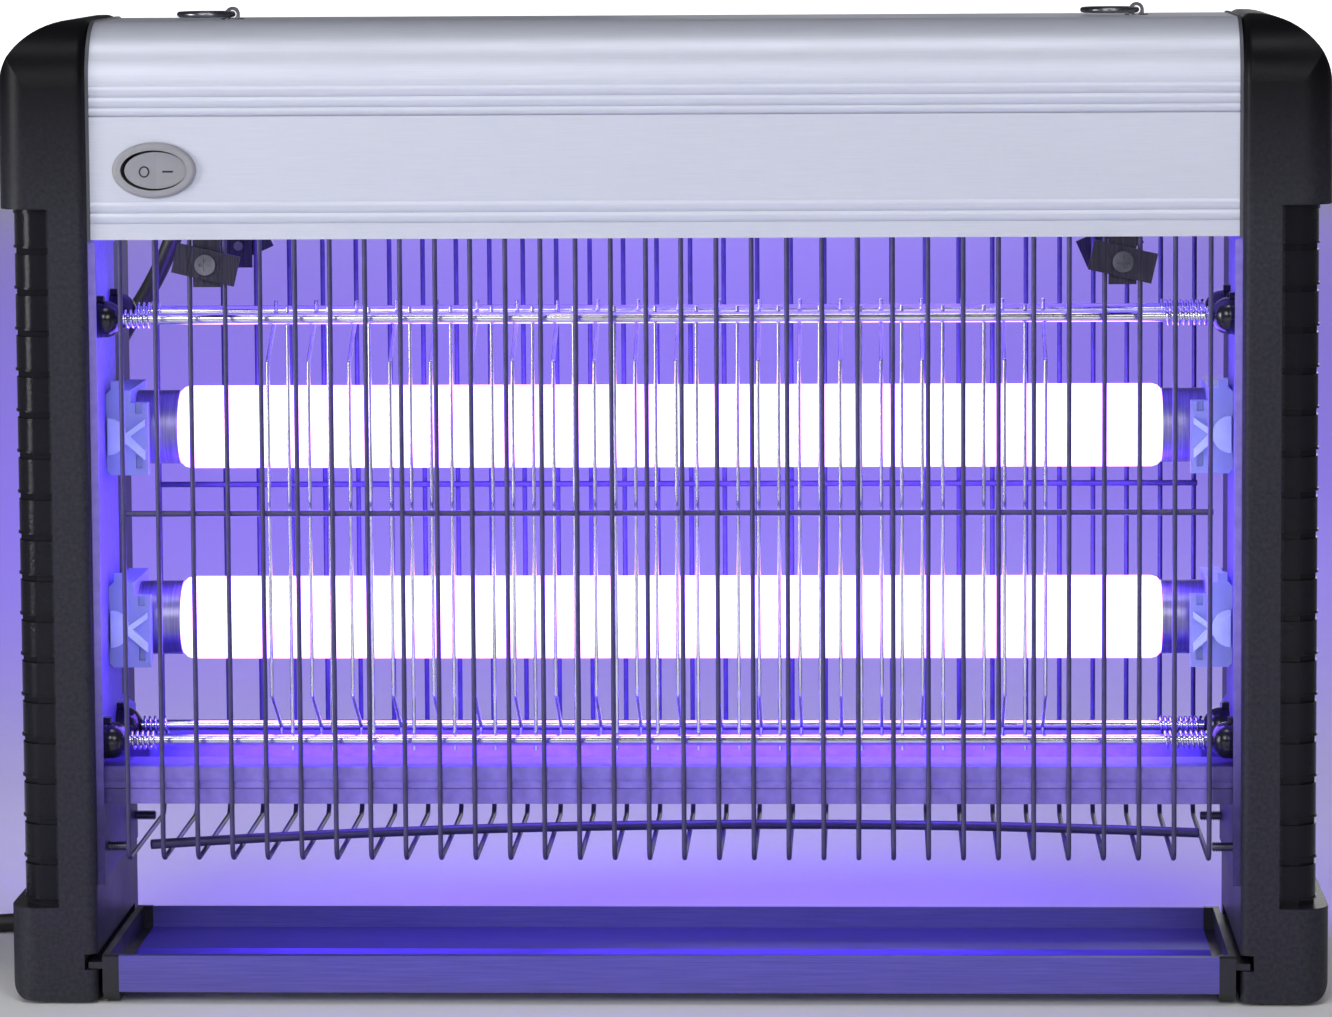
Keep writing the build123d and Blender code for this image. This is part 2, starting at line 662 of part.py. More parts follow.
ROD_PLACES = [(y, z) for y in (ROD_FRONT_Y, ROD_REAR_Y) for z in ROD_ZS]

with BuildPart() as left_insulators:
    for place_y, place_z in ROD_PLACES:
        with Locations((-171.1, place_y, place_z)):
            Sphere(5.6)
        rod_x((-BAY_X, -BAY_X + 1.4), place_y, place_z, 5.75)
        block((-BAY_X, -BAY_X + 2.2), (place_y - 1.5, place_y + 1.5), (place_z + 4.5, place_z + 7.2))
        block((-180, -BAY_X), (place_y - 7, place_y + 7), (place_z - 8, place_z + 8), mode=Mode.SUBTRACT)
        rod_x((-ROD_END_X - 0.1, -INSULATOR_TIP_X + 1), place_y, place_z, ROD_R + 0.04,
              mode=Mode.SUBTRACT)
save(left_insulators, "left_insulators")

with BuildPart() as right_insulators:
    mirror(left_insulators.part, about=Plane.YZ)
save(right_insulators, "right_insulators")


def grid_springs(x_start, length):
    """Coil springs round the four rod ends, starting at x_start and running towards +X."""
    with BuildPart() as spring:
        with BuildLine() as coil:
            Helix(pitch=1.6, height=length, radius=2.5, direction=(1, 0, 0))
        with BuildSketch(Plane(origin=coil.line @ 0, z_dir=coil.line % 0)):
            Circle(0.45)
        sweep(path=coil.line, is_frenet=True)
    return [spring.part.moved(Location((x_start, y, z))) for y, z in ROD_PLACES]


with BuildPart() as left_grid_springs:
    add(grid_springs(-INSULATOR_TIP_X + 0.6, 7.2))
save(left_grid_springs, "left_grid_springs")

with BuildPart() as right_grid_springs:
    add(grid_springs(INSULATOR_TIP_X - 13.4, 12.8))
save(right_grid_springs, "right_grid_springs")


# ---------------------------------------------------------------- wire guard
def guard_columns():
    return [GUARD_X0 + index * GUARD_PITCH for index in range(GUARD_COUNT)]


with BuildPart() as front_wire:
    with BuildLine() as front_path:
        Line((0, -GUARD_Y, GUARD_TOP), (0, -GUARD_Y, GUARD_Z0 + GUARD_BEND))
        ThreePointArc((0, -GUARD_Y, GUARD_Z0 + GUARD_BEND),
                      (0, -GUARD_Y + GUARD_BEND * (1 - math.sqrt(0.5)),
                       GUARD_Z0 + GUARD_BEND * (1 - math.sqrt(0.5))),
                      (0, -GUARD_Y + GUARD_BEND, GUARD_Z0))
    with BuildSketch(Plane.XY.offset(GUARD_TOP)):
        with Locations((0, -GUARD_Y)):
            Circle(WIRE_R)
    sweep(path=front_path.line)

with BuildPart() as front_guard:
    add([front_wire.part.moved(Location((x, 0, 0))) for x in guard_columns()])
    rod_x((GUARD_X0 - 1, -GUARD_X0 + 1), -GUARD_Y + WIRE_R + CROSS_WIRE_R - 0.3, CROSS_WIRE_Z, CROSS_WIRE_R)
save(front_guard, "front_guard")

with BuildPart() as rear_guard:
    mirror(front_guard.part, about=Plane.XZ)
save(rear_guard, "rear_guard")

with BuildPart() as bottom_guard:
    for x in guard_columns():
        rod_y(x, (-GUARD_Y + GUARD_BEND, GUARD_Y - GUARD_BEND), GUARD_Z0, WIRE_R)
save(bottom_guard, "bottom_guard")

STIFFENER_R = 1.5
with BuildPart() as guard_stiffener:
    rod_height = GUARD_Z0 + WIRE_R + STIFFENER_R
    with BuildLine() as bow:
        ThreePointArc((-160, -27, rod_height), (-2, 7, rod_height), (164, -6, rod_height))
    with BuildSketch(Plane(origin=bow.line @ 0, z_dir=bow.line % 0)):
        Circle(STIFFENER_R)
    sweep(path=bow.line)
save(guard_stiffener, "guard_stiffener")


# ---------------------------------------------------------------- guard brackets and turn clips
TAB_FRONT = HOUSING_D - HOUSING_WALL
CLIP_PLACES = {"front_left": (-1, -1), "front_right": (1, -1), "rear_left": (-1, 1), "rear_right": (1, 1)}

with BuildPart() as guard_brackets:
    for side_x, side_y in CLIP_PLACES.values():
        centre = side_x * CLIP_X
        block((centre - 4.2, centre + 4.2), (side_y * TAB_FRONT, side_y * (TAB_FRONT - 1)), (220, WEB_Z))
        block((centre - 4.2, centre + 4.2), (side_y * TAB_FRONT, side_y * (TAB_FRONT - 9)),
              (WEB_Z - 1, WEB_Z))
        rod_y(centre, (side_y * (TAB_FRONT + 1), side_y * (TAB_FRONT - 2)), CLIP_Z, CLIP_SCREW_R + 0.02,
              mode=Mode.SUBTRACT)
save(guard_brackets, "guard_brackets")

with BuildPart() as clip_screws:
    for side_x, side_y in CLIP_PLACES.values():
        centre = side_x * CLIP_X
        rod_y(centre, (side_y * (TAB_FRONT - 3), side_y * 44.2), CLIP_Z, CLIP_SCREW_R)
        rod_y(centre, (side_y * 44.2, side_y * 45.7), CLIP_Z, 3.15)
        block((centre - 1.8, centre + 1.8), (side_y * 45.0, side_y * 46), (CLIP_Z - 0.4, CLIP_Z + 0.4),
              mode=Mode.SUBTRACT)
        block((centre - 0.4, centre + 0.4), (side_y * 45.0, side_y * 46), (CLIP_Z - 1.8, CLIP_Z + 1.8),
              mode=Mode.SUBTRACT)
save(clip_screws, "clip_screws")


def turn_clip(side_x, side_y, tilt):
    """A tilted latch plate, its middle stepped back to the bracket."""
    centre = side_x * CLIP_X
    with BuildPart() as clip:
        block((centre - 9.75, centre + 9.75), (side_y * 43.0, side_y * 44.0), (CLIP_Z - 4.6, CLIP_Z + 4.6))
        block((centre - 4, centre + 4), (side_y * 41.7, side_y * 43.0), (CLIP_Z - 4.6, CLIP_Z + 4.6))
        for step_x in (centre - 5.2, centre + 4.2):
            block((step_x, step_x + 1.0), (side_y * 43.7, side_y * 45), (CLIP_Z - 5, CLIP_Z + 5),
                  mode=Mode.SUBTRACT)
        rod_y(centre, (side_y * 40, side_y * 46), CLIP_Z, CLIP_SCREW_R + 0.06, mode=Mode.SUBTRACT)
    return clip.part.rotate(Axis((centre, 0, CLIP_Z), (0, 1, 0)), tilt)


for place, (side_x, side_y) in CLIP_PLACES.items():
    tilt = FRONT_CLIP_TILT if side_y < 0 else REAR_CLIP_TILT
    with BuildPart() as clip:
        add(turn_clip(side_x, side_y, tilt))
    save(clip, f"{place}_clip")


# ---------------------------------------------------------------- lower rails
with BuildPart() as front_lower_rail:
    with BuildSketch(Plane.YZ.offset(-BAY_X)):
        with BuildLine():
            Polyline((-RAIL_Y, RAIL_BOTTOM), (-RAIL_Y, 65.6), (-RAIL_Y - 0.9, 66.1),
                     (-RAIL_Y - 0.9, 67.8), (-RAIL_Y, 68.5), (-RAIL_Y, RAIL_TOP),
                     (-20, RAIL_TOP), (-14, 66), (-14, 62),
                     (-15.2, 62), (-15.2, 65.5), (-20.5, RAIL_TOP - 1.2), (-RAIL_Y + 1.2, RAIL_TOP - 1.2),
                     (-RAIL_Y + 1.2, RAIL_BOTTOM), close=True)
        make_face()
    extrude(amount=2 * BAY_X)
save(front_lower_rail, "front_lower_rail")

with BuildPart() as rear_lower_rail:
    mirror(front_lower_rail.part, about=Plane.XZ)
save(rear_lower_rail, "rear_lower_rail")


# ---------------------------------------------------------------- catch tray
PAN_HALF_W = TRAY_HALF_W - TRAY_CAP_T

with BuildPart() as tray_pan:
    with BuildSketch(Plane.YZ.offset(-PAN_HALF_W)):
        with BuildLine():
            Polyline((TRAY_FRONT_Y, 3.9), (TRAY_FRONT_Y, TRAY_RIM), (TRAY_FRONT_Y + 2.4, TRAY_RIM),
                     (TRAY_FRONT_Y + 2.4, TRAY_RIM - 1.2), (TRAY_FRONT_Y + 1.2, TRAY_RIM - 1.2),
                     (TRAY_FRONT_Y + 1.2, 7.2), (-4, 7.2), (-2, 8.6), (TRAY_REAR_Y - 1.2, 8.6),
                     (TRAY_REAR_Y - 1.2, TRAY_RIM), (TRAY_REAR_Y, TRAY_RIM), (TRAY_REAR_Y, 7.4),
                     (-1.4, 7.4), (-3.4, 6.0), (TRAY_FRONT_Y + 1.2, 6.0), (TRAY_FRONT_Y + 1.2, 3.9),
                     close=True)
        make_face()
    extrude(amount=2 * PAN_HALF_W)
save(tray_pan, "tray_pan")

with BuildPart() as tray_left_cap:
    with BuildSketch(Plane.YZ.offset(-TRAY_HALF_W)):
        with BuildLine():
            Polyline((TRAY_FRONT_Y, 4), (TRAY_FRONT_Y, TRAY_RIM - 0.4), (TRAY_FRONT_Y + 1, TRAY_RIM + 0.2),
                     (TRAY_REAR_Y, TRAY_RIM + 0.2), (TRAY_REAR_Y, 4), (TRAY_REAR_Y - 4, 1),
                     (TRAY_FRONT_Y + 3, 1), close=True)
        make_face()
    extrude(amount=TRAY_CAP_T)
    block((-TRAY_HALF_W + 2, -PAN_HALF_W + 1), (TRAY_FRONT_Y + 2.5, TRAY_REAR_Y - 2), (8.6, TRAY_RIM + 1),
          mode=Mode.SUBTRACT)
    block((-TRAY_HALF_W - 4.4, -TRAY_HALF_W + 0.5), (TRAY_FRONT_Y + 1, TRAY_REAR_Y - 1), TONGUE_Z)
save(tray_left_cap, "tray_left_cap")

with BuildPart() as tray_right_cap:
    mirror(tray_left_cap.part, about=Plane.YZ)
save(tray_right_cap, "tray_right_cap")


# ---------------------------------------------------------------- hanging rings
with BuildPart() as hanging_eyes:
    for eye_x in EYE_XS.values():
        with BuildSketch(Plane.XZ.offset(0.8)):
            with Locations((eye_x, RING_Z)):
                Circle(EYE_R)
            with Locations((eye_x, (RING_Z + HOUSING_TOP) / 2)):
                Rectangle(2 * EYE_R, RING_Z - HOUSING_TOP)
            with Locations((eye_x, HOUSING_TOP - 5)):
                Rectangle(20, 10, mode=Mode.SUBTRACT)
            with Locations((eye_x, RING_Z)):
                Circle(EYE_HOLE_R, mode=Mode.SUBTRACT)
        extrude(amount=-1.6)
        rod_z(eye_x, 0, (HOUSING_TOP, HOUSING_TOP + 0.35), 3.6)
        rod_z(eye_x, 0, (HOUSING_TOP - 5, HOUSING_TOP + 0.2), 1.5)
        with BuildSketch(Plane.XY.offset(HOUSING_TOP - HOUSING_WALL - 2.4)):
            with Locations((eye_x, 0)):
                RegularPolygon(radius=3.2, side_count=6)
        extrude(amount=2.4)
save(hanging_eyes, "hanging_eyes")

for ring_name, eye_x in EYE_XS.items():
    with BuildPart() as ring:
        with Locations((eye_x - RING_R, 0, RING_Z)):
            Torus(RING_R, RING_WIRE_R)
    save(ring, f"{ring_name}_hanging_ring")


# ---------------------------------------------------------------- mains lead
with BuildPart() as strain_relief:
    rod_y(RELIEF_X, (HOUSING_D - 3.2, HOUSING_D - HOUSING_WALL), RELIEF_Z, 6.5)
    rod_y(RELIEF_X, (HOUSING_D - HOUSING_WALL, HOUSING_D), RELIEF_Z, 4.95)
    rod_y(RELIEF_X, (HOUSING_D, HOUSING_D + 2), RELIEF_Z, 7.0)
    with Locations(Location((RELIEF_X, HOUSING_D + 2, RELIEF_Z), (-90, 0, 0))):
        Cone(5.2, 3.7, RELIEF_END_Y - HOUSING_D - 2, align=(Align.CENTER, Align.CENTER, Align.MIN))
save(strain_relief, "strain_relief")

with BuildPart() as mains_cord:
    add(lead(CORD_ROUTE, CORD_R))
    add(lead(TAIL_ROUTE, CORD_R))
save(mains_cord, "mains_cord")

with BuildPart() as cord_coil:
    with BuildSketch(Plane.XY):
        with Locations(COIL_CENTRE):
            Circle(COIL_OUTER_R)
            Circle(COIL_INNER_R, mode=Mode.SUBTRACT)
    extrude(amount=COIL_H)
save(cord_coil, "cord_coil")

with BuildPart() as cord_tie:
    tie_x = (COIL_CENTRE[0] + COIL_INNER_R - 0.8, COIL_CENTRE[0] + COIL_OUTER_R + 0.8)
    block(tie_x, (COIL_CENTRE[1] - 2.5, COIL_CENTRE[1] + 2.5), (0, COIL_H + 0.8))
    block((tie_x[0] + 0.8, tie_x[1] - 0.8), (COIL_CENTRE[1] - 3, COIL_CENTRE[1] + 3), (0.4, COIL_H),
          mode=Mode.SUBTRACT)
save(cord_tie, "cord_tie")

PLUG_W = 46.0
PLUG_L = 48.0
PLUG_H = 17.0
with BuildPart() as plug_body:
    with BuildSketch(Plane.XY):
        with BuildLine():
            Polyline((PLUG_X - 9, PLUG_REAR_Y), (PLUG_X + 9, PLUG_REAR_Y),
                     (PLUG_X + PLUG_W / 2, PLUG_REAR_Y - 12), (PLUG_X + PLUG_W / 2, PLUG_REAR_Y - PLUG_L),
                     (PLUG_X - PLUG_W / 2, PLUG_REAR_Y - PLUG_L), (PLUG_X - PLUG_W / 2, PLUG_REAR_Y - 12),
                     close=True)
        make_face()
    extrude(amount=PLUG_H)
    fillet(plug_body.edges().filter_by(Axis.Z), 4)
    fillet(plug_body.faces().sort_by(Axis.Z)[-1].edges(), 1.5)
save(plug_body, "plug_body")

with BuildPart() as plug_pins:
    for pin_x in (-11.1, 11.1):
        block((PLUG_X + pin_x - 3.2, PLUG_X + pin_x + 3.2), (PLUG_REAR_Y - 19, PLUG_REAR_Y - 15),
              (PLUG_H, PLUG_H + 17.7))
    block((PLUG_X - 2, PLUG_X + 2), (PLUG_REAR_Y - 42, PLUG_REAR_Y - 34), (PLUG_H, PLUG_H + 22.7))
save(plug_pins, "plug_pins")
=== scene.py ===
import json
import math

import bpy
from mathutils import Euler, Matrix, Vector


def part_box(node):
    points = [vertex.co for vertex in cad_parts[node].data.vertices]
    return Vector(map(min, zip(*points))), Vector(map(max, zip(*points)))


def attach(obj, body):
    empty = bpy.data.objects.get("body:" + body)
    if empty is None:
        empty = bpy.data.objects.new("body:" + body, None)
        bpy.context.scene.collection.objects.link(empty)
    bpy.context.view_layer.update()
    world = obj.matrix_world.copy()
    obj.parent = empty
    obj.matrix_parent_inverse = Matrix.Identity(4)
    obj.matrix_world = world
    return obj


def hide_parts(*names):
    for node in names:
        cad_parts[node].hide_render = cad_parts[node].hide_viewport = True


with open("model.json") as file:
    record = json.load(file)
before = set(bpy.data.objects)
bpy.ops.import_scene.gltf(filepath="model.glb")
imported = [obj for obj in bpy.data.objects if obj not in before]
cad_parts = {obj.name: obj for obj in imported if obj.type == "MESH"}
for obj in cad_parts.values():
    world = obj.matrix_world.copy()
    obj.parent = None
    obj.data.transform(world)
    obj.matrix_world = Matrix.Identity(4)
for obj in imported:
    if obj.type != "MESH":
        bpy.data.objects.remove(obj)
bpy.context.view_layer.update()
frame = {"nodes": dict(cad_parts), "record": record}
MM = 0.001


# ---------------------------------------------------------------- camera
CAMERA_PLACE = (0.063, -1.615, 0.340)
CAMERA_PITCH = 5.34        # degrees down
CAMERA_YAW = 2.18          # degrees to the left
CAMERA_ROLL = -0.35

camera_data = bpy.data.cameras.new("camera")
camera_data.lens = 141.25
camera_data.sensor_width = 36
camera_data.shift_x = -0.006
camera_data.shift_y = -0.1
camera_data.clip_start = 0.05
camera_data.clip_end = 50
camera = bpy.data.objects.new("camera", camera_data)
bpy.context.scene.collection.objects.link(camera)
turn = Euler((math.radians(90 - CAMERA_PITCH), 0, math.radians(CAMERA_YAW))).to_matrix()
turn = turn @ Matrix.Rotation(math.radians(CAMERA_ROLL), 3, "Z")
camera.matrix_world = Matrix.Translation(CAMERA_PLACE) @ turn.to_4x4()
bpy.context.scene.camera = camera


# ---------------------------------------------------------------- materials
class Nodes:
    """A material's node tree, with short calls for the nodes used here."""

    def __init__(self, name):
        self.material = bpy.data.materials.new(name)
        self.material.use_nodes = True
        self.tree = self.material.node_tree
        self.shader = self.tree.nodes["Principled BSDF"]
        self.place = self.tree.nodes.new("ShaderNodeTexCoord").outputs["Object"]

    def node(self, kind, inputs=(), **settings):
        made = self.tree.nodes.new(kind)
        for key, value in settings.items():
            setattr(made, key, value)
        for key, value in dict(inputs).items():
            if hasattr(value, "is_output"):
                self.tree.links.new(value, made.inputs[key])
            else:
                made.inputs[key].default_value = value
        return made

    def stretched(self, scale):
        return self.node("ShaderNodeMapping", {"Vector": self.place, "Scale": scale}).outputs["Vector"]

    def noise(self, scale, detail=4, stretch=(1, 1, 1), roughness=0.55):
        return self.node("ShaderNodeTexNoise", {"Vector": self.stretched(stretch), "Scale": scale,
                         "Detail": detail, "Roughness": roughness}).outputs["Fac"]

    def between(self, factor, low, high, start=0.3, end=0.7):
        return self.node("ShaderNodeMapRange", {"Value": factor, "From Min": start, "From Max": end,
                         "To Min": low, "To Max": high}).outputs["Result"]

    def tint(self, factor, first, second):
        ramp = self.node("ShaderNodeValToRGB", {"Fac": factor})
        ramp.color_ramp.elements[0].position = 0.3
        ramp.color_ramp.elements[1].position = 0.7
        ramp.color_ramp.elements[0].color = (*first, 1)
        ramp.color_ramp.elements[1].color = (*second, 1)
        return ramp.outputs["Color"]

    def math(self, operation, *values):
        return self.node("ShaderNodeMath", dict(enumerate(values)), operation=operation).outputs[0]

    def blend(self, factor, first, second):
        """A colour between two, each a socket or an RGBA value."""
        return self.node("ShaderNodeMix", {0: factor, 6: first, 7: second}, data_type="RGBA").outputs[2]

    def bump(self, height, strength, distance):
        return self.node("ShaderNodeBump", {"Height": height, "Strength": strength,
                         "Distance": distance}).outputs["Normal"]

    def set(self, **inputs):
        for key, value in inputs.items():
            socket = self.shader.inputs[key.replace("_", " ")]
            if hasattr(value, "is_output"):
                self.tree.links.new(value, socket)
            else:
                socket.default_value = value


def moulded_plastic(name, dark, light, rough=(0.35, 0.5), grain=1800, specular=0.5):
    m = Nodes(name)
    cloud = m.noise(26)
    fine = m.noise(grain, detail=2)
    m.set(Base_Color=m.tint(cloud, dark, light), Roughness=m.between(m.noise(60), *rough),
          Normal=m.bump(fine, 0.18, 0.0002), Specular_IOR_Level=specular)
    return m.material


CAP_SHADE_Z = (0.235, 0.285)         # the dark cap blends into the paler column between these heights
LOUVRE_X = (0.1865, 0.1875)          # distance from the middle where the louvred band begins
LOUVRE_MID_Z = 0.137
LOUVRE_HALF_H = (0.1065, 0.1075)
LOUVRE_COLOR = (0.010, 0.010, 0.014, 1)
LOUVRE_ROUGHNESS = 0.17


def frame_plastic(name):
    """Black polypropylene: smooth dark caps, paler grained columns and feet, glossy louvres outside."""
    m = Nodes(name)
    split = m.node("ShaderNodeSeparateXYZ", {"Vector": m.place})
    below_cap = m.between(split.outputs["Z"], 0, 1, start=CAP_SHADE_Z[1], end=CAP_SHADE_Z[0])
    side = m.math("ABSOLUTE", split.outputs["X"])
    outer = m.between(side, 0, 1, start=LOUVRE_X[0], end=LOUVRE_X[1])
    from_middle = m.math("ABSOLUTE", m.math("SUBTRACT", split.outputs["Z"], LOUVRE_MID_Z))
    band = m.between(from_middle, 1, 0, start=LOUVRE_HALF_H[0], end=LOUVRE_HALF_H[1])
    louvre = m.math("MULTIPLY", outer, band)
    grain = m.noise(760, detail=3)
    cloud = m.noise(24)
    dark = m.tint(cloud, (0.002, 0.002, 0.003), (0.004, 0.004, 0.006))
    pale = m.tint(grain, (0.020, 0.020, 0.027), (0.034, 0.033, 0.044))
    mixed = m.blend(louvre, m.blend(below_cap, dark, pale), LOUVRE_COLOR)
    rough = m.node("ShaderNodeMix", {0: louvre, 2: m.between(cloud, 0.34, 0.46),
                                     3: LOUVRE_ROUGHNESS}).outputs[0]
    m.set(Base_Color=mixed, Roughness=rough, Normal=m.bump(grain, 0.25, 0.0003), Specular_IOR_Level=0.13)
    return m.material


def brushed_metal(name, dark, light, along=(1, 40, 40), rough=(0.28, 0.42), metallic=1.0, strength=0.12):
    m = Nodes(name)
    streaks = m.noise(60, detail=6, stretch=along)
    cloud = m.noise(14)
    m.set(Base_Color=m.tint(streaks, dark, light), Metallic=metallic,
          Roughness=m.between(cloud, *rough), Normal=m.bump(streaks, strength, 0.0002))
    return m.material


PLATE_X = (0.1655, 0.1665)           # end plates lie outside this distance from the middle, rails inside
PLATE_PAINTED_SHADE_Z = (0.055, 0.115)         # painted shade darkens the plates downwards between these heights
HOUSING_EDGE_Z = (0.2335, 0.2345)    # above this the plates lie beside the housing
PLATE_EDGE_COLOR = (0.10, 0.10, 0.12, 1)


def plate_metal(name):
    """Satin zinc sheet with painted violet lamp light, grey by the housing; painted shade darkens the end
    plates towards the foot.
    """
    m = Nodes(name)
    split = m.node("ShaderNodeSeparateXYZ", {"Vector": m.place})
    # Painted shade: the end plates darken towards the foot, away from the lamps.
    low = m.between(split.outputs["Z"], 0, 1, start=PLATE_PAINTED_SHADE_Z[1], end=PLATE_PAINTED_SHADE_Z[0])
    on_plate = m.between(m.math("ABSOLUTE", split.outputs["X"]), 0, 1, start=PLATE_X[0], end=PLATE_X[1])
    # Painted violet lamp light, in a lit copy and a darker painted-shade copy of the sheet's colour.
    painted_violet_light = m.tint(m.noise(260), (0.20, 0.16, 0.56), (0.26, 0.21, 0.66))
    painted_violet_shade = m.tint(m.noise(260), (0.035, 0.025, 0.11), (0.055, 0.040, 0.16))
    sheet = m.blend(m.math("MULTIPLY", low, on_plate), painted_violet_light, painted_violet_shade)
    beside_housing = m.between(split.outputs["Z"], 0, 1, start=HOUSING_EDGE_Z[0], end=HOUSING_EDGE_Z[1])
    m.set(Base_Color=m.blend(beside_housing, sheet, PLATE_EDGE_COLOR), Roughness=0.5, Metallic=0.45,
          Normal=m.bump(m.noise(900), 0.04, 0.0002))
    return m.material


def coated_wire(name, dark, light, rough=(0.3, 0.45), metallic=0.2):
    m = Nodes(name)
    fine = m.noise(900, detail=3)
    m.set(Base_Color=m.tint(m.noise(120), dark, light), Metallic=metallic,
          Roughness=m.between(fine, *rough), Normal=m.bump(fine, 0.2, 0.0002))
    return m.material


def lit_glass(name, strength):
    """Phosphor-coated tube: so bright that it looks white, while its light on things near is violet."""
    m = Nodes(name)
    cloud = m.noise(20)
    glow = m.tint(cloud, (0.20, 0.088, 1.0), (0.21, 0.092, 1.0))
    m.set(Base_Color=m.tint(cloud, (0.93, 0.94, 1.0), (1.0, 1.0, 1.0)), Roughness=0.18,
          Emission_Color=glow, Emission_Strength=strength, Coat_Weight=0.5, Coat_Roughness=0.06)
    return m.material


def sheath(name):
    m = Nodes(name)
    fine = m.noise(1400, detail=2)
    m.set(Base_Color=m.tint(m.noise(40), (0.010, 0.010, 0.012), (0.022, 0.022, 0.025)),
          Roughness=m.between(m.noise(150), 0.38, 0.5), Normal=m.bump(fine, 0.15, 0.0002))
    return m.material


MATERIALS = {
    "frame_plastic": frame_plastic("frame_plastic"),
    "feet_rubber": moulded_plastic("feet_rubber", (0.01, 0.01, 0.01), (0.02, 0.02, 0.02), (0.7, 0.85)),
    "plate_metal": plate_metal("plate_metal"),
    "screw_steel": brushed_metal("screw_steel", (0.10, 0.10, 0.14), (0.30, 0.30, 0.36), (1, 1, 1)),
    "housing_metal": brushed_metal("housing_metal", (0.54, 0.565, 0.66), (0.59, 0.615, 0.72), (1, 60, 60),
                                   (0.38, 0.46), 0.3, 0.05),
    "core_steel": brushed_metal("core_steel", (0.08, 0.08, 0.09), (0.2, 0.2, 0.22)),
    "winding_copper": brushed_metal("winding_copper", (0.45, 0.16, 0.06), (0.7, 0.3, 0.12)),
    "board_laminate": moulded_plastic("board_laminate", (0.25, 0.15, 0.06), (0.36, 0.22, 0.1)),
    "capacitor_body": moulded_plastic("capacitor_body", (0.06, 0.1, 0.3), (0.1, 0.15, 0.4), (0.2, 0.3)),
    # white_plastic: its blue-violet colour is painted violet lamp light on white plastic.
    "white_plastic": moulded_plastic("white_plastic", (0.30, 0.34, 0.66), (0.38, 0.42, 0.76), (0.3, 0.45)),
    "lead_sheath": sheath("lead_sheath"),
    "switch_grey": moulded_plastic("switch_grey", (0.24, 0.24, 0.27), (0.31, 0.31, 0.34), (0.35, 0.5)),
    "contact_brass": brushed_metal("contact_brass", (0.6, 0.45, 0.2), (0.8, 0.65, 0.35)),
    "lamp_glass": lit_glass("lamp_glass", 16.0),
    # lamp_cap_metal: grey metal; its violet tint is painted lamp light.
    "lamp_cap_metal": brushed_metal("lamp_cap_metal", (0.22, 0.20, 0.36), (0.42, 0.40, 0.58), (40, 1, 1),
                                    (0.35, 0.5)),
    "pin_brass": brushed_metal("pin_brass", (0.6, 0.5, 0.25), (0.85, 0.72, 0.42)),
    "grid_steel": brushed_metal("grid_steel", (0.55, 0.55, 0.62), (0.85, 0.85, 0.9), (1, 1, 1), (0.12, 0.22)),
    "insulator_black": moulded_plastic("insulator_black", (0.008, 0.008, 0.012), (0.015, 0.015, 0.02),
                                       (0.12, 0.2)),
    "guard_wire": coated_wire("guard_wire", (0.040, 0.036, 0.10), (0.065, 0.058, 0.15)),
    # clip_metal: darkened and tinted violet, painted shade and painted violet lamp light on the clip's steel.
    "clip_metal": brushed_metal("clip_metal", (0.030, 0.028, 0.050), (0.075, 0.070, 0.11), (60, 60, 1),
                                (0.3, 0.45)),
    # tray_metal: its violet base colour is painted violet lamp light on the tray's steel.
    "tray_metal": brushed_metal("tray_metal", (0.10, 0.088, 0.34), (0.14, 0.12, 0.44), (1, 40, 40),
                                (0.36, 0.48), 0.5),
    "tray_plastic": moulded_plastic("tray_plastic", (0.01, 0.01, 0.013), (0.02, 0.02, 0.024), (0.3, 0.42)),
    # ring_steel: the chrome is darkened, a painted dark reflection.
    "ring_steel": brushed_metal("ring_steel", (0.05, 0.05, 0.06), (0.35, 0.35, 0.38), (1, 1, 1), (0.2, 0.3)),
    "plug_plastic": moulded_plastic("plug_plastic", (0.012, 0.012, 0.014), (0.02, 0.02, 0.024), (0.25, 0.35)),
    "mark_ink": moulded_plastic("mark_ink", (0.008, 0.008, 0.01), (0.015, 0.015, 0.018), (0.5, 0.6)),
    "spring_clip": brushed_metal("spring_clip", (0.55, 0.66, 0.92), (0.78, 0.88, 1.0), (1, 1, 1),
                                 (0.25, 0.35), 0.3),
}

node_slot = {sub["node"]: sub["material_slot"] for sub in frame["record"]["subparts"]}
for node_name, node in frame["nodes"].items():
    finish = MATERIALS["spring_clip" if node_name == "lampholder_clips" else node_slot[node_name]]
    if not node.data.materials:
        node.data.materials.append(finish)
    for index in range(len(node.data.materials)):
        node.data.materials[index] = finish


# ---------------------------------------------------------------- helpers for new pieces
def link(name, data, body, material):
    piece = bpy.data.objects.new(name, data)
    bpy.context.scene.collection.objects.link(piece)
    data.materials.append(material)
    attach(piece, body)
    return piece


def tube_curve(name, points, radius, body, slot_name, cyclic=False, resolution=8, material=None):
    """A smooth round cord, wire or ring along NURBS control points in metres."""
    curve = bpy.data.curves.new(name, "CURVE")
    curve.dimensions = "3D"
    curve.bevel_depth = radius
    curve.bevel_resolution = 5
    curve.use_fill_caps = True
    spline = curve.splines.new("NURBS")
    spline.points.add(len(points) - 1)
    for control, point in zip(spline.points, points):
        control.co = (*point, 1)
    spline.use_cyclic_u = cyclic
    spline.use_endpoint_u = not cyclic
    spline.order_u = 3
    spline.resolution_u = resolution
    return link(name, curve, body, MATERIALS[material or slot_name])


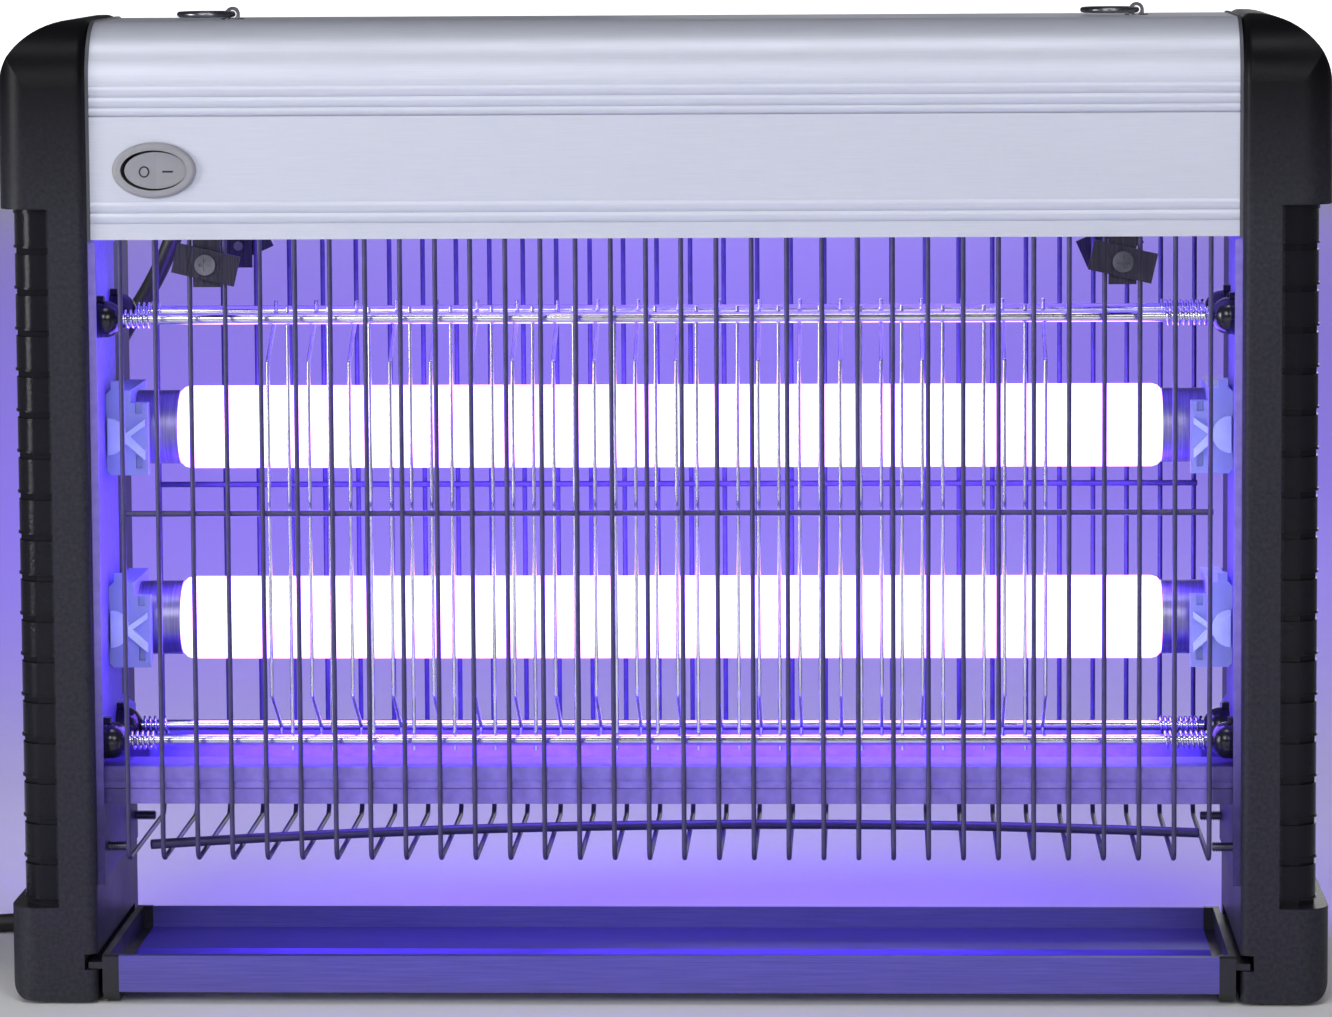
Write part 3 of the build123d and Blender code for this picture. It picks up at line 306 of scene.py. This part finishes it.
# ---------------------------------------------------------------- mains lead
CORD_R = 3.0
COIL_CENTRE = (-268.0, 22.0)
COIL_OUTER = 42.0          # centreline of the outermost turn
COIL_INNER = 27.0
TURN_POINTS = 16
LAYER_TURNS = 2.5
LAST_TURN = 0.36           # part of a turn after the two layers
START_ANGLE = 72.0
ROUTE = [
    (-160, 68, 252), (-160, 81.5, 252), (-161.7, 94.4, 246.7), (-164.5, 103.6, 236.6),
    (-168.9, 107.2, 223.3), (-175.6, 104.8, 209), (-183.2, 98, 196.6), (-189.2, 90, 183.2),
    (-191.4, 82, 166.8), (-190.6, 75.3, 145.5), (-188.6, 70.4, 118), (-187, 67.4, 87),
    (-186.5, 66, 57), (-186.5, 66, 31.2), (-191.9, 66, 18.3), (-201.8, 65.6, 8.4),
    (-214.7, 65.2, 3), (-233.7, 65, 3), (-250, 64.9, 3),
]
TAIL = [(-303.5, -3.0, 9.0), (-299.0, -14.0, 8.5), (-297.0, -22.0, 8.0), (-297.0, -30.0, 8.0)]


def coil_points():
    """Two flat layers: the lower one winds inwards, the upper one back outwards."""
    spread = 1 / math.cos(math.pi / TURN_POINTS)
    total = 2 * LAYER_TURNS + LAST_TURN
    pitch = (COIL_OUTER - COIL_INNER) / LAYER_TURNS
    points = []
    for step in range(1, int(total * TURN_POINTS) + 1):
        turns = step / TURN_POINTS
        angle = math.radians(START_ANGLE) + turns * 2 * math.pi
        if turns < LAYER_TURNS:
            radius = COIL_OUTER - pitch * turns
        else:
            radius = min(COIL_OUTER, COIL_INNER + pitch * (turns - LAYER_TURNS))
        rise = min(1, max(0, (turns - LAYER_TURNS + 0.25) / 0.5))
        points.append((COIL_CENTRE[0] + radius * spread * math.cos(angle),
                       COIL_CENTRE[1] + radius * spread * math.sin(angle),
                       CORD_R + 2 * CORD_R * rise))
    return points


cord_points = [Vector(point) * MM for point in ROUTE + coil_points() + TAIL]
cord = tube_curve("mains_lead", cord_points, CORD_R * MM, "chassis", "lead_sheath", resolution=6)
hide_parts("mains_cord", "cord_coil")


def measured_length(curve_object):
    """Length of a curve's own line, read from its evaluated spline."""
    bare = curve_object.data.copy()
    bare.bevel_depth = 0
    holder = bpy.data.objects.new("measure", bare)
    mesh = bpy.data.meshes.new_from_object(holder)
    length = sum((mesh.vertices[e.vertices[0]].co - mesh.vertices[e.vertices[1]].co).length
                 for e in mesh.edges)
    bpy.data.objects.remove(holder)
    return length


cord_length = round(measured_length(cord), 2)


# ---------------------------------------------------------------- switch marks
ROCKER_PIVOT_Y = -38.9
ROCKER_TILT = math.radians(7)
ROCKER_VEE = math.radians(3)
ROCKER_VALLEY_Y = -43.78   # the line between the two halves of the rocker's face
MARK_SINK = 0.08           # the middle of a mark's line lies this far under the face
MARK_Z = -0.4              # both marks, from the middle of the switch
RING_MARK_X = -3.5
RING_MARK_RADII = (1.42, 1.55)
RING_MARK_POINTS = 16
DASH_MARK_XS = (2.0, 2.8, 3.6, 4.4, 5.2)
bezel_low, bezel_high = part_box("switch_bezel")
SWITCH_X = (bezel_low[0] + bezel_high[0]) / 2
SWITCH_Z = (bezel_low[2] + bezel_high[2]) / 2


def on_rocker(x, z):
    """A point just under the rocker's face, x and z in mm from the middle of the switch."""
    depth = ROCKER_VALLEY_Y - abs(x) * math.tan(ROCKER_VEE) + MARK_SINK - ROCKER_PIVOT_Y
    turned_x = x * math.cos(ROCKER_TILT) - depth * math.sin(ROCKER_TILT)
    turned_y = x * math.sin(ROCKER_TILT) + depth * math.cos(ROCKER_TILT)
    return Vector((SWITCH_X + turned_x * MM, (ROCKER_PIVOT_Y + turned_y) * MM, SWITCH_Z + z * MM))


ring_mark = []
for step in range(RING_MARK_POINTS):
    angle = 2 * math.pi * step / RING_MARK_POINTS
    ring_mark.append(on_rocker(RING_MARK_X + RING_MARK_RADII[0] * math.cos(angle),
                               MARK_Z + RING_MARK_RADII[1] * math.sin(angle)))
tube_curve("switch_mark_off", ring_mark, 0.24 * MM, "rocker", "switch_grey", cyclic=True,
           material="mark_ink")
tube_curve("switch_mark_on", [on_rocker(x, MARK_Z) for x in DASH_MARK_XS], 0.28 * MM, "rocker",
           "switch_grey", material="mark_ink")


# ---------------------------------------------------------------- stage and lights
VIOLET = (0.20, 0.09, 1.0)
WORLD_LEVEL = 0.09


def flat_material(name, color, rough):
    m = Nodes(name)
    fine = m.noise(30)
    m.set(Base_Color=m.tint(fine, color, tuple(c * 0.985 for c in color)), Roughness=rough,
          Specular_IOR_Level=0.1)
    return m.material


def stage_sheet(name, points, faces, material):
    mesh = bpy.data.meshes.new(name)
    mesh.from_pydata(points, [], faces)
    mesh.materials.append(material)
    sheet = bpy.data.objects.new(name, mesh)
    bpy.context.scene.collection.objects.link(sheet)
    return sheet


FLOOR_HALF = 6
BACKDROP_R = 5.5
BACKDROP_H = 1.1
BACKDROP_SIDES = 72
BACKDROP_GLOW = 0.9

stage_sheet("floor", [(-FLOOR_HALF, -FLOOR_HALF, 0), (FLOOR_HALF, -FLOOR_HALF, 0),
                      (FLOOR_HALF, FLOOR_HALF, 0), (-FLOOR_HALF, FLOOR_HALF, 0)], [(0, 1, 2, 3)],
            flat_material("paper", (0.90, 0.90, 0.91), 0.8))

# A low white wall all round gives every view a pale horizon.
backdrop_paper = flat_material("backdrop_paper", (0.9, 0.9, 0.9), 0.9)
backdrop_shader = backdrop_paper.node_tree.nodes["Principled BSDF"]
backdrop_shader.inputs["Emission Color"].default_value = (1, 1, 1, 1)
backdrop_shader.inputs["Emission Strength"].default_value = BACKDROP_GLOW
wall_foot = []
wall_faces = []
for step in range(BACKDROP_SIDES):
    angle = 2 * math.pi * step / BACKDROP_SIDES
    after = (step + 1) % BACKDROP_SIDES
    wall_foot.append((BACKDROP_R * math.cos(angle), BACKDROP_R * math.sin(angle), 0))
    wall_faces.append((step, after, after + BACKDROP_SIDES, step + BACKDROP_SIDES))
wall_head = [(x, y, BACKDROP_H) for x, y, _ in wall_foot]
backdrop = stage_sheet("backdrop", wall_foot + wall_head, wall_faces, backdrop_paper)
backdrop.visible_glossy = False

world = bpy.data.worlds.new("world")
world.use_nodes = True
sky = world.node_tree.nodes["Background"]
sky.inputs["Color"].default_value = (0.95, 0.95, 1.0, 1)
sky.inputs["Strength"].default_value = WORLD_LEVEL
bpy.context.scene.world = world
bpy.context.scene.view_settings.view_transform = "Standard"


def area_light(name, place, target, size, power, color=(1, 1, 1), spread=180):
    data = bpy.data.lights.new(name, "AREA")
    data.shape = "RECTANGLE"
    data.size, data.size_y = size
    data.energy = power
    data.color = color
    data.spread = math.radians(spread)
    light = bpy.data.objects.new(name, data)
    bpy.context.scene.collection.objects.link(light)
    light.location = place
    light.rotation_mode = "QUATERNION"
    light.rotation_quaternion = (Vector(target) - Vector(place)).to_track_quat("-Z", "Y")
    light.visible_camera = False
    return light


# Two frontal softboxes, low power from the left, above and behind, and two washes on the floor:
# white in front of the object, and violet behind it where the camera looks through the opening.
area_light("key", (-0.40, -1.6, 0.80), (0, 0, 0.18), (0.5, 0.5), 4.9)
area_light("fill", (0.50, -1.6, 0.75), (0, 0, 0.18), (0.5, 0.5), 4.6)
area_light("side", (-1.3, -0.75, 0.30), (-0.1, 0, 0.15), (0.5, 0.8), 1.6, spread=60)
area_light("top", (0, -0.45, 1.3), (0, 0, 0.29), (1.2, 0.3), 0.5, spread=50)
area_light("back", (0.3, 1.6, 0.35), (0, 0, 0.18), (0.8, 0.4), 0.2, spread=60)
area_light("front_floor", (0, -0.8, 0.9), (0, -0.75, 0), (1.4, 0.5), 2.6, spread=60)
glow = area_light("floor_glow", (-0.1, 2.25, 2.0), (-0.1, 2.25, 0), (1.2, 3.5), 12.0, VIOLET, spread=40)
glow.visible_glossy = False
